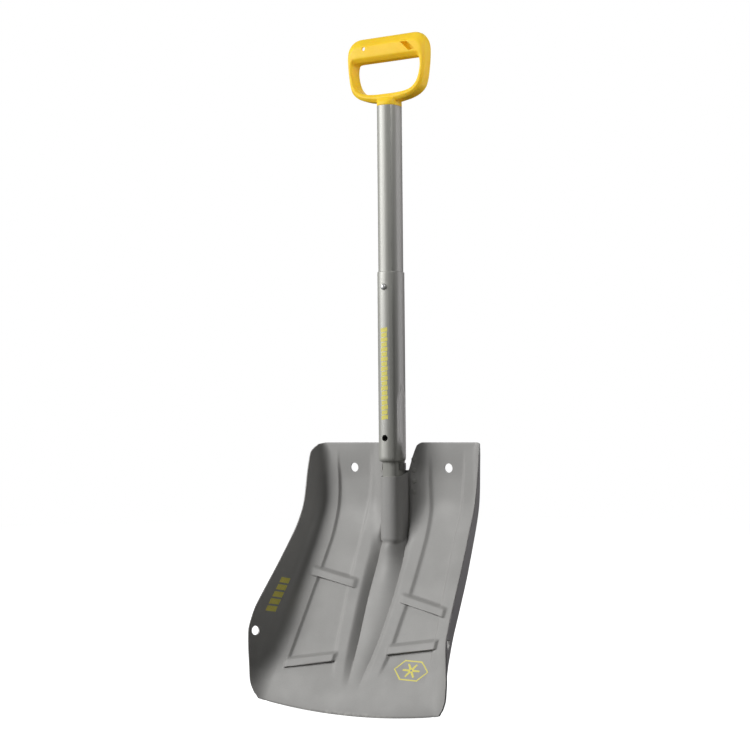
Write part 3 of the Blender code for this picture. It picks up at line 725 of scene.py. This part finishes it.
def make_grip():
    count = 2 * (len(GRIP_STATIONS) - 1)
    fine = 6
    rings = []
    for k in range(count * fine):
        s = k / fine
        ox, oz, ix, iz, depth = station(s)
        oz = min(oz, GRIP_TOP)
        mid = Vector(((ox + ix) / 2.0, 0.0, (oz + iz) / 2.0))
        arm = Vector(((ox - ix) / 2.0, 0.0, (oz - iz) / 2.0))
        from_bar = min(s, count - s)
        strap = smooth(2.2, 5.2, from_bar)
        rings.append([tuple(mid + arm * u + Vector((0.0, depth * v, 0.0)))
                      for u, v in grip_section(strap)])
    grip = loft("grip_moulding", rings, closed=True)
    a, b = UPPER_A - UPPER_WALL - FIT, UPPER_B - UPPER_WALL - FIT
    neck = ((a - 0.6, b - 0.6, 740.0), (a, b, 741.5), (a, b, 772.0),
            (UPPER_A - 0.3, UPPER_B - 0.3, 772.0), (UPPER_A + 0.1, UPPER_B - 0.1, 772.5),
            (UPPER_A + 0.2, UPPER_B - 0.3, 776.0), (UPPER_A + 0.8, 15.6, 778.6),
            (15.6, 13.5, 781.0), (14.4, 10.0, 783.6), (12.0, 7.0, 785.5))
    stub = loft("grip_neck", [shaft_ring(*row) for row in neck])
    union = grip.modifiers.new("neck", "BOOLEAN")
    union.operation = "UNION"
    union.solver = "EXACT"
    union.object = stub
    settle(grip, 38.0)
    bpy.data.objects.remove(stub, do_unlink=True)
    x, z, radius = LANYARD_HOLE
    tools = [drill("grip_pin_hole", (0.0, 8.0, GRIP_PIN_Z), (0, 1, 0), GRIP_PIN_HOLE_R,
                   14.0, 28),
             drill("lanyard_hole", (x, -15.0, z), (0, 1, 0), radius, 9.0, 28),
             loft("grip_notch", [[(x, y, z) for x, z in GRIP_NOTCH]
                                 for y in (-14.0, GRIP_NOTCH_DEPTH - 13.0)])]
    for i, (start, stop, floor) in enumerate(GRIP_POCKETS):
        section = ((15.0, 837.5), (floor, 838.5), (floor, 852.0), (floor + 6.5, 857.8),
                   (15.0, 858.6))
        tools.append(loft("grip_pocket_%d" % i, [[(x, y, z) for y, z in section]
                                                 for x in (start, stop)]))
    cut(grip, tools, 30.0)
    return grip


def make_grip_pin():
    head = UPPER_B + FIT
    profile = [(8.4, 0.2), (8.4, 1.9), (8.7, 2.2), (head, 2.2), (head, 3.8)]
    profile += dome(head, 3.8, 1.15, 0.25)
    return turned("grip_pin_rivet", profile, 32, (0.0, 0.0, GRIP_PIN_Z), (0, 1, 0))


# ---- snap buttons and springs ----
SPRING_THICK, SPRING_HALF_X = 0.7, 3.6


def collar_seat(a, b):
    """Distance from the oval's centre at which a flat collar clears the curved wall."""
    return b * math.sqrt(1.0 - (BUTTON_COLLAR_R / a) ** 2) - FIT


def make_button(name, z, seat_y, tip, sign):
    """Domed push button with a collar that stays behind the tube wall."""
    profile = [(seat_y - 2.4, 0.2), (seat_y - 2.4, 2.7), (seat_y - 2.1, 3.0),
               (seat_y - 1.2, 3.0), (seat_y - 1.2, BUTTON_COLLAR_R - 0.2),
               (seat_y - 1.0, BUTTON_COLLAR_R), (seat_y - 0.2, BUTTON_COLLAR_R),
               (seat_y, BUTTON_COLLAR_R - 0.2), (seat_y, BUTTON_R), (tip - 2.2, BUTTON_R)]
    for i in range(1, 9):
        a = 0.5 * math.pi * i / 9.0
        profile.append((tip - 2.2 + 2.2 * math.sin(a), BUTTON_R * math.cos(a)))
    profile.append((tip, 0.15))
    return turned(name, profile, 48, (0.0, 0.0, z), (0, sign, 0))


def make_spring(name, z, near_y, far_y, height):
    """V-shaped leaf spring that pushes a button outwards from the opposite wall."""
    thick, half = SPRING_THICK, SPRING_HALF_X
    side = 1.0 if far_y > near_y else -1.0
    apex_y, apex_r = lerp(near_y, far_y, 0.5), abs(far_y - near_y) * 0.16
    path = [Vector((near_y, z - 5.0)), Vector((near_y, z + 2.0)), Vector((near_y, z + 5.0))]
    for i in range(9):
        a = math.pi * i / 8.0
        path.append(Vector((apex_y - side * apex_r * math.cos(a),
                            z + height - apex_r + apex_r * math.sin(a))))
    path += [Vector((far_y, z + 5.0)), Vector((far_y, z + 2.0)), Vector((far_y, z - 5.0))]
    inside = []
    for i, p in enumerate(path):
        before, after = path[max(i - 1, 0)], path[min(i + 1, len(path) - 1)]
        along = (after - before).normalized()
        inside.append(p + Vector((along.y, -along.x)) * side * thick)
    rings = []
    for p, q in zip(path, inside):
        rings.append([(-half, p.x, p.y), (half, p.x, p.y), (half, q.x, q.y),
                      (-half, q.x, q.y)])
    spring = loft(name, rings, crease_angle=50.0)
    mod = spring.modifiers.new("eased edges", "BEVEL")
    mod.width = 0.12 * MM
    mod.segments = 2
    mod.limit_method = "ANGLE"
    settle(spring, 50.0)
    return spring


def add_spring(name, z, near_y, far_y, height, button):
    """A leaf spring with its near leg at the button and its far leg against the opposite wall; it
    gets no body and is fixed where it is made.
    """
    spring = make_spring(name, z, near_y, far_y, height)
    finish(spring, spring_steel, None, "spring_steel", button.replace("button", "spring"))
    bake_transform(spring)


# ---- printed marks ----
INK = 0.06
SHAFT_MARKS, SHAFT_MARK_LOW, SHAFT_MARK_PITCH = 19, 364.5, 6.25
WALL_MARKS, WALL_MARK_LOW, WALL_MARK_PITCH = 5, 117.0, 8.6
BLADE_MARK_X, BLADE_MARK_Z = 78.0, 57.5


def film_object(name, patches):
    """Printed film: each patch is a grid of (point on a surface, direction out of it)."""
    verts, faces = [], []
    for patch in patches:
        start = len(verts)
        for lift in (INK, -INK):
            verts += [point + normal * lift for line in patch for point, normal in line]
        for face in slab_faces(len(patch), len(patch[0])):
            faces.append(tuple(start + i for i in face))
    return mesh_object(name, verts, faces, 60.0)


def patch(place, corners, across=4, along=4):
    """Spread a four-cornered patch over a surface: place(u, v) is (point, normal)."""
    a, b, c, d = (Vector(corner) for corner in corners)
    grid = []
    for j in range(along + 1):
        start, stop = a.lerp(d, j / along), b.lerp(c, j / along)
        grid.append([place(*start.lerp(stop, i / across)) for i in range(across + 1)])
    return grid


def on_shaft(x, z):
    """Front of the lower shaft."""
    t = 0.0
    for _ in range(6):
        t = math.asin(x / (LOWER_A - facet(t)))
    normal = Vector((math.sin(t), -math.cos(t), 0.0))
    return Vector((x, -(LOWER_B - facet(t)) * math.cos(t), z)), normal


def on_floor(x, z):
    """Front face of the blade's floor."""
    slope_x = floor_y(x + 0.5, z) - floor_y(x - 0.5, z)
    slope_z = floor_y(x, z + 0.5) - floor_y(x, z - 0.5)
    return Vector((x, floor_y(x, z), z)), Vector((slope_x, -1.0, slope_z)).normalized()


def on_left_wall(w, z):
    """Inner face of the left wall."""
    def at(w, z):
        return Vector((*wall_point(-1, w, z), z))
    normal = (at(w + 0.01, z) - at(w - 0.01, z)).cross(at(w, z + 0.5) - at(w, z - 0.5))
    normal.normalize()
    return at(w, z), normal if normal.x > 0.0 else -normal


def slanted(low, tall, left, right, lean):
    """Corners of a leaning block."""
    return ((left, low), (right, low + lean), (right, low + tall + lean), (left, low + tall))


def make_shaft_marks():
    patches = []
    for i in range(SHAFT_MARKS):
        low = SHAFT_MARK_LOW + i * SHAFT_MARK_PITCH
        half = (5.0, 4.3)[i % 2]
        patches.append(patch(on_shaft, slanted(low, 5.3, -half, half, 1.2), 6, 2))
    return film_object("shaft_print", patches)


def make_wall_marks():
    patches = []
    for i in range(WALL_MARKS):
        low = WALL_MARK_LOW + i * WALL_MARK_PITCH
        patches.append(patch(on_left_wall, slanted(low, 6.4, 0.46, 0.72, 3.0)))
    return film_object("wall_print", patches)


def make_blade_mark():
    """A stretched six-sided frame round a six-armed snow crystal."""
    def at(radius, turn, stretch=1.0):
        a = math.radians(turn)
        return (BLADE_MARK_X + stretch * radius * math.cos(a),
                BLADE_MARK_Z + radius * math.sin(a))
    patches = []
    for turn in range(0, 360, 60):
        corners = (at(11.3, turn, 2.1), at(11.3, turn + 60, 2.1), at(13.0, turn + 60, 1.98),
                   at(13.0, turn, 1.98))
        patches.append(patch(on_floor, corners, 8, 2))
        arm = [at(1.6, turn - 50, 1.5), at(1.6, turn + 50, 1.5), at(8.4, turn + 6, 1.5),
               at(8.4, turn - 6, 1.5)]
        patches.append(patch(on_floor, arm))
    return film_object("blade_print", patches)


# ---- materials ----
def srgb(r, g, b):
    """Linear colour with alpha from 0-255 display values."""
    values = []
    for c in (r, g, b):
        c /= 255.0
        values.append(c / 12.92 if c <= 0.04045 else ((c + 0.055) / 1.055) ** 2.4)
    return (*values, 1.0)


class Shading:
    """Small builder for one Principled material in object coordinates."""

    def __init__(self, name, **sockets):
        self.material = bpy.data.materials.new(name)
        self.material.use_nodes = True
        self.tree = self.material.node_tree
        self.surface = self.tree.nodes["Principled BSDF"]
        for socket, value in sockets.items():
            self.surface.inputs[socket.replace("_", " ")].default_value = value
        self.place = self.tree.nodes.new("ShaderNodeTexCoord").outputs["Object"]

    def node(self, kind, inputs=None, **settings):
        made = self.tree.nodes.new(kind)
        for name, value in settings.items():
            setattr(made, name, value)
        for name, value in (inputs or {}).items():
            made.inputs[name].default_value = value
        return made

    def link(self, value, target):
        """Join an output to a socket, or set the socket to a plain value."""
        if isinstance(value, bpy.types.NodeSocket):
            self.tree.links.new(value, target)
        else:
            target.default_value = value

    def noise(self, scale, stretch=(1.0, 1.0, 1.0), detail=3.0, rough=0.55):
        mapping = self.node("ShaderNodeMapping", {"Scale": stretch})
        self.link(self.place, mapping.inputs["Vector"])
        noise = self.node("ShaderNodeTexNoise",
                          {"Scale": scale, "Detail": detail, "Roughness": rough})
        self.link(mapping.outputs["Vector"], noise.inputs["Vector"])
        return noise.outputs["Fac"]

    def ranged(self, value, low, high, to_low, to_high):
        change = self.node("ShaderNodeMapRange", {"From Min": low, "From Max": high,
                                                  "To Min": to_low, "To Max": to_high})
        self.link(value, change.inputs["Value"])
        return change.outputs["Result"]

    def math(self, operation, first, second):
        made = self.node("ShaderNodeMath", operation=operation)
        for socket, value in zip(made.inputs, (first, second)):
            self.link(value, socket)
        return made.outputs["Value"]

    def axis(self, name):
        split = self.node("ShaderNodeSeparateXYZ")
        self.link(self.place, split.inputs["Vector"])
        return split.outputs[name]

    def ramp(self, value, *stops):
        ramp = self.node("ShaderNodeValToRGB")
        while len(ramp.color_ramp.elements) < len(stops):
            ramp.color_ramp.elements.new(0.5)
        for element, (at, colour) in zip(ramp.color_ramp.elements, stops):
            element.position = at
            element.color = colour
        self.link(value, ramp.inputs["Fac"])
        return ramp.outputs["Color"]

    def mix(self, factor, first, second):
        mix = self.node("ShaderNodeMix", data_type="RGBA")
        for socket, value in zip((mix.inputs[0], mix.inputs[6], mix.inputs[7]),
                                 (factor, first, second)):
            self.link(value, socket)
        return mix.outputs[2]

    def colour(self, output):
        self.link(output, self.surface.inputs["Base Color"])

    def roughness(self, output):
        self.link(output, self.surface.inputs["Roughness"])

    def bump(self, *layers):
        """Each layer is (height output, distance in millimetres, strength)."""
        normal = None
        for height, distance, strength in layers:
            bump = self.node("ShaderNodeBump",
                             {"Distance": distance * MM, "Strength": strength})
            self.link(height, bump.inputs["Height"])
            if normal is not None:
                self.link(normal, bump.inputs["Normal"])
            normal = bump.outputs["Normal"]
        self.link(normal, self.surface.inputs["Normal"])


def grained(name, metallic, ior, grain, dark, light, rough, bump):
    """A plain finish whose one grain drives tone, gloss and relief together."""
    m = Shading(name, Metallic=metallic, IOR=ior)
    noise = m.noise(*grain)
    m.colour(m.ramp(noise, (dark[0], srgb(*dark[1:])), (light[0], srgb(*light[1:]))))
    m.roughness(m.ranged(noise, 0.3, 0.7, *rough))
    m.bump((noise, *bump))
    return m.material


def blade_material():
    """Grey hard-anodised sheet: fine blasted grain, faint drift of tone, paler worn lip."""
    m = Shading("blade_hard_anodised", Metallic=0.10, IOR=1.45)
    drift = m.noise(9.0, detail=4.0)
    tone = m.ramp(drift, (0.30, srgb(150, 149, 147)), (0.70, srgb(159, 158, 156)))
    fleck = m.ranged(m.noise(900.0, detail=2.0), 0.35, 0.65, 0.0, 1.0)
    tone = m.mix(m.math("MULTIPLY", fleck, 0.10), tone, srgb(190, 189, 184))
    lip = m.ranged(m.axis("Z"), 0.0, 0.006, 1.0, 0.0)
    worn = m.math("MULTIPLY", lip, m.ranged(m.noise(160.0), 0.40, 0.62, 0.0, 1.0))
    tone = m.mix(worn, tone, srgb(196, 195, 190))
    m.colour(tone)
    m.roughness(m.ranged(m.noise(30.0, detail=5.0), 0.3, 0.7, 0.56, 0.66))
    m.bump((m.noise(1500.0, detail=2.0), 0.05, 0.25))
    return m.material


def plate_material():
    """Plate behind the socket: the same sheet with a tighter rolled grain."""
    m = Shading("plate_anodised", Metallic=0.45, IOR=1.5)
    grain = m.noise(400.0, (1.0, 1.0, 0.06))
    m.colour(m.ramp(grain, (0.30, srgb(132, 131, 128)), (0.70, srgb(150, 149, 146))))
    m.roughness(m.ranged(m.noise(60.0), 0.3, 0.7, 0.36, 0.50))
    m.bump((grain, 0.06, 0.30))
    return m.material


def shaft_material():
    """Drawn and anodised tube: long draw lines and soft satin gloss."""
    m = Shading("shaft_anodised", Metallic=0.20, IOR=1.5)
    lines = m.noise(620.0, (1.0, 1.0, 0.012), detail=2.0)
    tone = m.ramp(lines, (0.30, srgb(166, 166, 160)), (0.70, srgb(176, 176, 170)))
    drift = m.ranged(m.noise(12.0, (1.0, 1.0, 0.4)), 0.35, 0.65, 0.0, 0.5)
    m.colour(m.mix(drift, tone, srgb(164, 164, 158)))
    m.roughness(m.ranged(lines, 0.3, 0.7, 0.40, 0.48))
    m.bump((lines, 0.03, 0.30), (m.noise(1800.0, detail=1.0), 0.02, 0.20))
    return m.material


def grip_material():
    """Glass-filled nylon, warm yellow, with a fine spark-eroded grain, and a faint painted glow:
    yellow emission that lifts its shaded sides.
    """
    # the emission below is painted light: a faint yellow glow over the whole grip, brightening its
    # shaded sides
    m = Shading("grip_yellow_nylon_painted_glow", Metallic=0.0, IOR=1.45, Subsurface_Weight=0.5,
                Subsurface_Radius=(1.0, 0.75, 0.18), Subsurface_Scale=0.012,
                Specular_IOR_Level=0.25, Emission_Color=srgb(255, 200, 40),
                Emission_Strength=0.16)
    drift = m.noise(28.0, detail=4.0)
    tone = m.ramp(drift, (0.30, srgb(228, 190, 46)), (0.70, srgb(233, 200, 58)))
    fleck = m.ranged(m.noise(1300.0, detail=1.0), 0.52, 0.70, 0.0, 0.18)
    m.colour(m.mix(fleck, tone, srgb(255, 214, 96)))
    m.roughness(m.ranged(m.noise(300.0), 0.3, 0.7, 0.44, 0.58))
    m.bump((m.noise(1700.0, detail=2.0), 0.05, 0.30))
    return m.material


def dark_plastic_material():
    m = Shading("plug_black_nylon", Metallic=0.0, IOR=1.49)
    grain = m.noise(1500.0, detail=2.0)
    m.colour(m.ramp(m.noise(40.0), (0.3, srgb(26, 26, 27)), (0.7, srgb(36, 36, 38))))
    m.roughness(m.ranged(grain, 0.3, 0.7, 0.45, 0.60))
    m.bump((grain, 0.05, 0.35))
    return m.material


def finish(obj, material, body, slot, *nodes):
    """Give a new piece its material and its body, and hide the CAD nodes it stands for; slot is
    not used.

    A piece that bends between two bodies, such as a spring, gets no body and is attached to none.
    """
    obj.data.materials.clear()
    obj.data.materials.append(material)
    if body:
        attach(obj, body)
    if nodes:
        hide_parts(*nodes)


# ---- assembly ----
blade_metal = blade_material()
plate_metal = plate_material()
shaft_metal = shaft_material()
grip_plastic = grip_material()
dark_plastic = dark_plastic_material()
even = (1.0, 1.0, 1.0)
rivet_metal = grained("rivet_aluminium", 0.25, 1.5, (700.0, even, 4.0),
                      (0.35, 146, 145, 141), (0.65, 164, 163, 159), (0.44, 0.58), (0.04, 0.40))
# pressed stainless, polished on the dome by use
button_steel = grained("button_stainless", 0.55, 1.5, (900.0, (1.0, 0.05, 1.0), 2.0),
                       (0.30, 228, 229, 228), (0.70, 246, 247, 246), (0.24, 0.34),
                       (0.02, 0.25))
spring_steel = grained("spring_steel", 1.0, 1.5, (800.0, (0.05, 1.0, 1.0), 2.0),
                       (0.30, 120, 122, 126), (0.70, 158, 160, 164), (0.28, 0.42),
                       (0.02, 0.30))
# flat pad-printed ink, slightly broken over the grain
print_ink = grained("print_yellow_ink", 0.0, 1.45, (1200.0, even, 2.0),
                    (0.32, 214, 204, 96), (0.60, 238, 228, 116), (0.50, 0.66), (0.02, 0.20))

finish(make_blade(), blade_metal, "blade", "blade_metal", "blade")
finish(make_plate(), plate_metal, "blade", "plate_metal", "socket_plate")
finish(make_collar(), plate_metal, "blade", "plate_metal", "socket_collar")
for number, rivet in enumerate(make_rivets(), 1):
    finish(rivet, rivet_metal, "blade", "rivet_metal", "socket_rivet_%d" % number)

finish(make_lower_shaft(), shaft_metal, "lower_shaft", "shaft_metal", "lower_shaft")
finish(make_upper_shaft(), shaft_metal, "upper_shaft", "shaft_metal", "upper_shaft")
finish(make_end_plug(), dark_plastic, "upper_shaft", "dark_plastic", "shaft_end_plug")
finish(make_grip(), grip_plastic, "upper_shaft", "grip_plastic", "d_grip")
finish(make_grip_pin(), rivet_metal, "upper_shaft", "rivet_metal", "grip_pin")

finish(make_shaft_marks(), print_ink, "lower_shaft", "grip_plastic")
finish(make_wall_marks(), print_ink, "blade", "grip_plastic")
finish(make_blade_mark(), print_ink, "blade", "grip_plastic")

upper_inner = UPPER_B - UPPER_WALL
seat = collar_seat(UPPER_A - UPPER_WALL, upper_inner)
finish(make_button("shaft_button", SHAFT_BUTTON_Z, seat, 21.4, -1), button_steel,
       "shaft_lock_button", "button_steel", "shaft_lock_button")
add_spring("shaft_spring", SHAFT_BUTTON_Z, -(seat - 2.7), upper_inner - 1.2, 46.0,
           "shaft_lock_button")

seat = SPIGOT_Y + collar_seat(SPIGOT_A - LOWER_WALL, SPIGOT_B - LOWER_WALL)
spigot_front = SPIGOT_Y - SPIGOT_B + LOWER_WALL
finish(make_button("blade_button", BLADE_BUTTON_Z, seat, 22.6, 1), button_steel,
       "blade_lock_button", "button_steel", "blade_lock_button")
add_spring("blade_spring", BLADE_BUTTON_Z, seat - 2.7, spigot_front + 1.2, 36.0,
           "blade_lock_button")


# ---- studio ----
def aim(obj, target):
    obj.rotation_mode = "QUATERNION"
    obj.rotation_quaternion = (target - obj.location).to_track_quat("-Z", "Y")


def area_light(name, azimuth, elevation, distance, size, power, colour=(1.0, 1.0, 1.0),
               height=0.42):
    """A soft box: azimuth 0 lies in front of the blade and grows towards +X."""
    data = bpy.data.lights.new(name, "AREA")
    data.shape = "RECTANGLE"
    data.size, data.size_y = size
    data.energy = power
    data.color = colour
    lamp = bpy.data.objects.new(name, data)
    scene.collection.objects.link(lamp)
    a, e = math.radians(azimuth), math.radians(elevation)
    target = Vector((0.0, 0.0, height))
    lamp.location = target + distance * Vector((math.sin(a) * math.cos(e),
                                                -math.cos(a) * math.cos(e), math.sin(e)))
    aim(lamp, target)
    return lamp


def studio():
    world = bpy.data.worlds.new("studio")
    scene.world = world
    world.use_nodes = True
    background = world.node_tree.nodes["Background"]
    background.inputs["Color"].default_value = (1.0, 1.0, 1.0, 1.0)
    background.inputs["Strength"].default_value = 1.0
    world.cycles_visibility.diffuse = False
    world.cycles_visibility.glossy = False
    scene.view_settings.view_transform = "Standard"

    area_light("key", -46.0, 19.0, 2.4, (1.2, 1.5), 67.0)
    area_light("grip_fill", 74.0, 16.0, 0.55, (0.25, 0.25), 1.7, height=0.86)
    area_light("front_fill", 40.0, 8.0, 3.0, (1.0, 2.0), 4.0)
    area_light("side_fill", 140.0, 2.0, 2.4, (0.5, 2.2), 17.0, (0.97, 0.94, 1.0))
    area_light("back_fill", 205.0, 30.0, 2.8, (1.6, 1.6), 14.0)

    bpy.ops.mesh.primitive_circle_add(vertices=96, radius=4.0, fill_type="NGON")
    floor = bpy.context.object
    floor.name = "studio_floor"
    pale = Shading("pale_floor", Emission_Color=(1.0, 1.0, 1.0, 1.0), Emission_Strength=0.985)
    pale.colour(pale.ramp(pale.noise(3.0), (0.3, srgb(186, 186, 186)),
                          (0.7, srgb(190, 190, 190))))
    pale.roughness(pale.ranged(pale.noise(40.0), 0.3, 0.7, 0.65, 0.75))
    floor.data.materials.append(pale.material)
    floor.visible_diffuse = False
    floor.visible_glossy = False
    floor.visible_shadow = False


def camera():
    """Three-quarter front view from the right, level with the middle of the shaft."""
    azimuth, pitch, roll = math.radians(32.0), math.radians(1.5), math.radians(-0.5)
    pan = math.radians(0.566)
    distance, height = 2203.0, 365.0
    data = bpy.data.cameras.new("camera")
    data.sensor_width = 36.0
    data.lens = 81.6
    cam = bpy.data.objects.new("camera", data)
    scene.collection.objects.link(cam)
    place = Vector((distance * math.sin(azimuth), -distance * math.cos(azimuth), height))
    turn = (Matrix.Rotation(azimuth + pan, 4, "Z")
            @ Matrix.Rotation(0.5 * math.pi + pitch, 4, "X") @ Matrix.Rotation(roll, 4, "Z"))
    cam.matrix_world = Matrix.Translation((place + ORIGIN) * MM) @ turn
    scene.camera = cam


studio()
camera()
